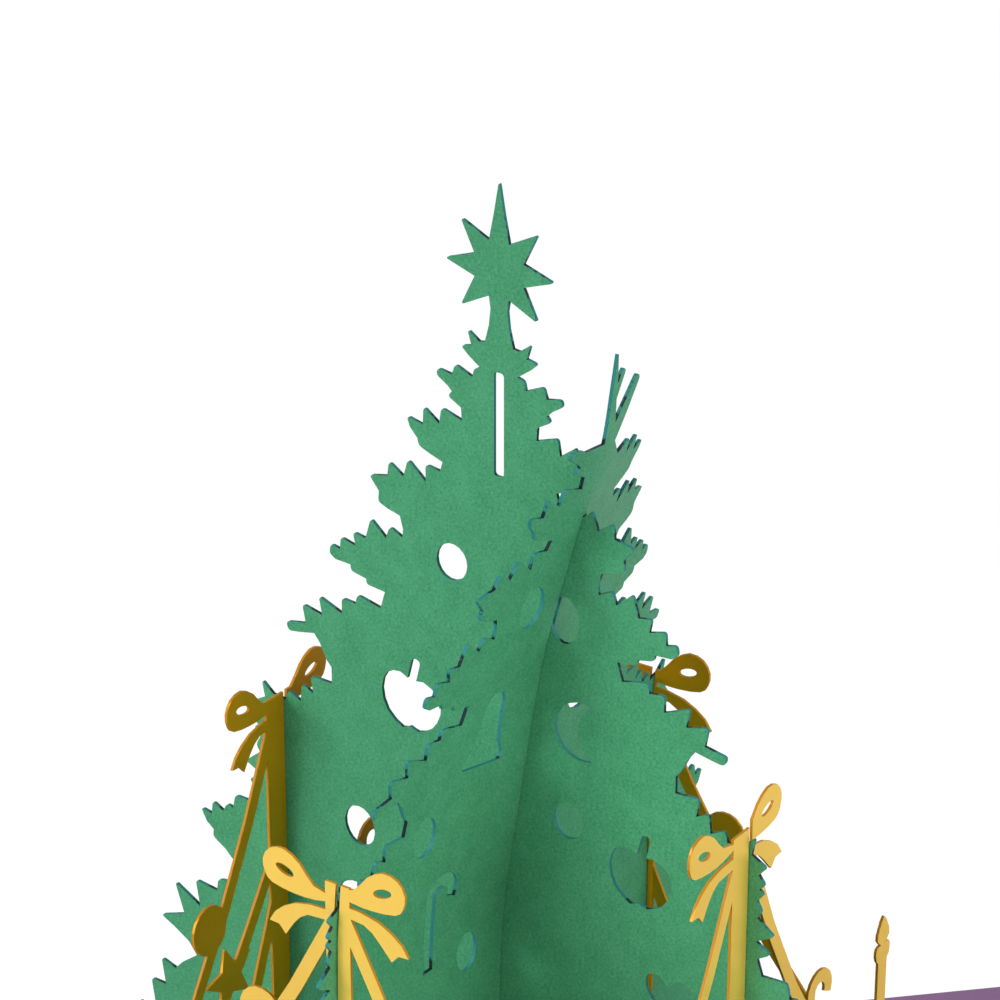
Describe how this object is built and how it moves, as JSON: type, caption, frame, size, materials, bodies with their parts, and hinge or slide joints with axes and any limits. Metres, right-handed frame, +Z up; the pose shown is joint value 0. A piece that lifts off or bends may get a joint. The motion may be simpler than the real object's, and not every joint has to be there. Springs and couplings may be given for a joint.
{
  "type": "pop-up card",
  "caption": "Open pop-up card with a green star-topped paper tree of two crossing sheets, set in a slotted cage of gold bows, strings and candles.",
  "frame": {"origin": "centre of the open card's underside", "axes": "+X across the fold along the card's long side, +Y along the fold away from the viewer, +Z up to the tip of the star"},
  "size_m": [0.296, 0.148, 0.1433],
  "materials": {
    "green": "matte",
    "gold": "satin",
    "card": "matte"
  },
  "bodies": {
    "root": {"base_card": "card", "star_tree": "green", "cross_tree": "green", "garland_left": "gold", "garland_front": "gold", "garland_right": "gold", "garland_back": "gold"}
  },
  "joints": []
}
